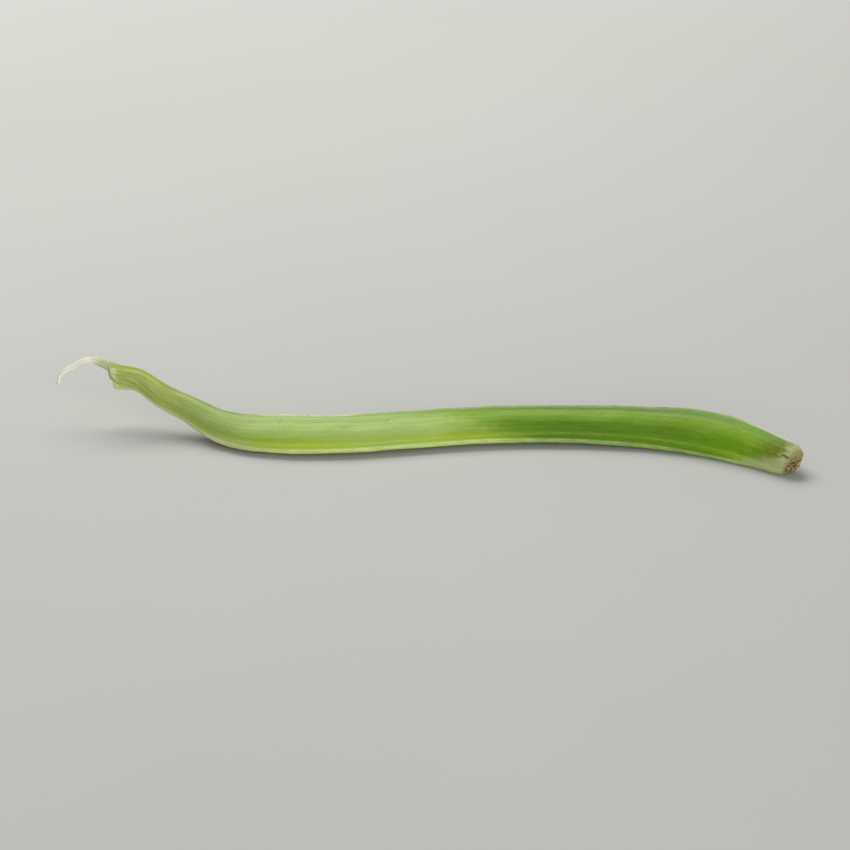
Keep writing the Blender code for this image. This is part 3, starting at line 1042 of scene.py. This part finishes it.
    def paint_scar(self):
        """Olive and grey skin round the stalk end, a brown crack and the brown, straw-flecked scar."""
        uneven = self.plus(self.mottle, -0.5)
        olive = self.fall(self.moved(self.along, uneven, OLIVE_MOTTLE), *OLIVE_ENDS, 0.85)
        self.paint(self.times(olive, self.fall(self.across, *OLIVE_SIDE_ENDS)), END_OLIVE)
        rail = self.rise(self.stored("rail"), *END_RAIL_RISE)
        self.paint(self.times(rail, self.fall(self.along, *WHITE_RAIL_ENDS, 0.45)), RIM_GREY)
        slant = self.moved(self.moved(self.across, self.along, GREY_SLANT), uneven, GREY_SLANT_MOTTLE)
        self.paint(self.fall(slant, *GREY_SLANT_ENDS, 0.9), END_GREY)
        self.paint(self.fall(self.moved(self.along, uneven, GREY_MOTTLE), *GREY_ENDS, 0.85), END_GREY)
        broken = self.rise(self.noise(self.straight, *CRACK_GAPS), *CRACK_GAPS_RISE)
        self.paint(self.times(self.rise(self.stored("stain"), *CRACK_RISE), broken), CRACK)
        flecks = self.noise(self.straight, *FLECKS)
        speckled = self.mix(self.rise(flecks, *END_FLECKS_RISE), SCAR_BROWN, END_STRAW)
        worn = self.plus(self.stored("rim"), self.noise(self.straight, *RIM_EDGE))
        self.paint(self.rise(worn, *RIM_RISE), speckled)
        ragged = self.moved(self.stored("scar"), self.noise(self.straight, *SCAR_EDGE), SCAR_RAGGED)
        share = self.rise(ragged, *SCAR_RISE)
        self.paint(share, self.ramp(flecks, *zip(SCAR_STOPS, DRY)))
        return share

    def finish(self, neck, dry, scar):
        """Waxy where it is green, dull where it is dry, with fine ribs and pores."""
        waxy = self.rise(self.mottle, *WAXY_ROUGHNESS)
        dull = self.math("MAXIMUM", self.math("MAXIMUM", dry, scar), self.times(neck, NECK_DRYNESS))
        roughness = self.math("ADD", waxy, self.times(dull, DRY_ROUGHNESS), clamp=True)
        self.put(self.shader.inputs["Roughness"], roughness)
        relief = None
        fields = (self.streaks, self.fibrous, self.fine, self.grain)
        for field, (height, strength) in zip(fields, SKIN_BUMPS):
            relief = self.bump(field, height * MM, strength, relief)
        self.put(self.shader.inputs["Normal"], relief)
        self.shader.inputs["Specular IOR Level"].default_value = SPECULAR
        self.shader.inputs["Subsurface Weight"].default_value = SUBSURFACE
        self.shader.inputs["Subsurface Radius"].default_value = SUBSURFACE_REACH
        self.shader.inputs["Subsurface Scale"].default_value = MM


def fibre_material():
    """Dry brown fibre with straw-coloured lengths."""
    n = Nodes("dry_fibre")
    straight = n.stored_vector("straight")
    tone = n.drawn_out(straight, *FIBRE_LENGTHS)
    n.put(n.shader.inputs["Base Color"], n.ramp(tone, *zip(FIBRE_STOPS, DRY)))
    n.put(n.shader.inputs["Roughness"], n.rise(tone, *FIBRE_ROUGHNESS))
    height, strength = FIBRE_BUMP
    n.put(n.shader.inputs["Normal"], n.bump(tone, height * MM, strength))
    return n.material


def floor_material():
    """A plain light grey surface with the faintest unevenness."""
    n = Nodes("pale_surface")
    place = n.add("ShaderNodeTexCoord").outputs["Object"]
    n.put(n.shader.inputs["Base Color"], n.mix(n.noise(place, FLOOR_GRAIN), FLOOR_DARK, FLOOR_LIGHT))
    n.shader.inputs["Roughness"].default_value = FLOOR_ROUGHNESS
    return n.material


def new_piece(name, mesh, material):
    mesh.materials.append(material)
    piece = bpy.data.objects.new(name, mesh)
    bpy.context.scene.collection.objects.link(piece)
    return piece


def make_pod(pod, rings):
    mesh = lofted_mesh("dressed_pod", [rings])
    for name, rows in pod.masks.items():
        values = np.array(rows)
        store(mesh, name, values.reshape(-1, 3) if values.ndim == 3 else values.ravel())
    store_unwrapped(mesh, rings.shape[1])
    piece = new_piece("dressed_pod", mesh, PodSkin().material)
    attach(piece, "root")
    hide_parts("pod")


def fibre_rings(root, heading, side, length, radius):
    """One thin tapered fibre, sunk at its root, that bends to one side."""
    across, up = unit(np.cross(heading, side)), unit(np.cross(heading, np.cross(heading, side)))
    angle = np.linspace(0.0, 2 * np.pi, FIBRE_SIDES, endpoint=False)[:, None]
    circle = across * np.cos(angle) + up * np.sin(angle)
    rings = []
    for share in np.linspace(0.0, 1.0, FIBRE_RINGS):
        centre = root + heading * length * (share - FIBRE_SUNK) + side * length * FIBRE_BEND * share**2
        rings.append(centre + circle * radius * (1 - FIBRE_TAPER * share))
    return np.array(rings)


def make_fibres(rings):
    """Short dry fibres that stand round the rim of the scar, each of its own length and lean."""
    rim = rings[FIBRE_RING]
    middle = rim.mean(axis=0)
    outward_end = unit(middle - rings[FIBRE_RING + FIBRE_BEHIND].mean(axis=0))
    draw = np.random.default_rng(FIBRE_SEED)
    tubes = []
    for i in range(FIBRE_COUNT):
        root = rim[int((i + draw.uniform(*FIBRE_SCATTER)) * len(rim) / FIBRE_COUNT) % len(rim)]
        away = unit(root - middle)
        heading = unit(outward_end + away * draw.uniform(*FIBRE_LEAN))
        side = unit(np.cross(heading, away)) * draw.choice((-1.0, 1.0))
        length = draw.uniform(*FIBRE_LENGTH)
        tubes.append(fibre_rings(root, heading, side, length, draw.uniform(*FIBRE_RADIUS)))
    mesh = lofted_mesh("scar_fibres", tubes)
    store(mesh, "straight", np.concatenate([tube.reshape(-1, 3) for tube in tubes]))
    piece = new_piece("scar_fibres", mesh, fibre_material())
    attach(piece, "root")


def make_floor():
    mesh = bpy.data.meshes.new("floor")
    half = FLOOR_SIZE / 2
    corners = [(-half, -half, 0), (half, -half, 0), (half, half, 0), (-half, half, 0)]
    mesh.from_pydata(corners, [], [(0, 1, 2, 3)])
    new_piece("floor", mesh, floor_material())


def soft_light(name, place, size, power, colour):
    """A soft rectangular light, in metres and watts, that faces the pod."""
    data = bpy.data.lights.new(name, "AREA")
    data.shape = "RECTANGLE"
    data.size, data.size_y = size
    data.energy = power
    data.color = colour
    light = bpy.data.objects.new(name, data)
    light.location = place
    light.rotation_euler = (-Vector(place)).to_track_quat("-Z", "Y").to_euler()
    bpy.context.scene.collection.objects.link(light)


def light_the_pod():
    soft_light("key", KEY_PLACE, KEY_SIZE, KEY_POWER, KEY_COLOUR)
    soft_light("fill", FILL_PLACE, FILL_SIZE, FILL_POWER, FILL_COLOUR)
    world = bpy.data.worlds.new("studio")
    world.use_nodes = True
    sky = world.node_tree.nodes["Background"]
    sky.inputs["Color"].default_value = SKY_COLOUR
    sky.inputs["Strength"].default_value = SKY_STRENGTH
    bpy.context.scene.world = world
    bpy.context.scene.view_settings.view_transform = "Standard"


def place_camera():
    """The camera looks along +Y and down, as the photograph does."""
    data = bpy.data.cameras.new("camera")
    data.lens = CAMERA_LENS
    camera = bpy.data.objects.new("camera", data)
    tilt = np.radians(CAMERA_ELEVATION)
    back = Vector((0.0, -np.cos(tilt), np.sin(tilt)))
    camera.location = Vector(AIM) + back * CAMERA_DISTANCE
    camera.rotation_euler = (-back).to_track_quat("-Z", "Y").to_euler()
    bpy.context.scene.collection.objects.link(camera)
    bpy.context.scene.camera = camera


def main():
    pod = Pod()
    rings = centred(pod.make())
    make_pod(pod, rings)
    make_fibres(rings)
    make_floor()
    light_the_pod()
    place_camera()


main()
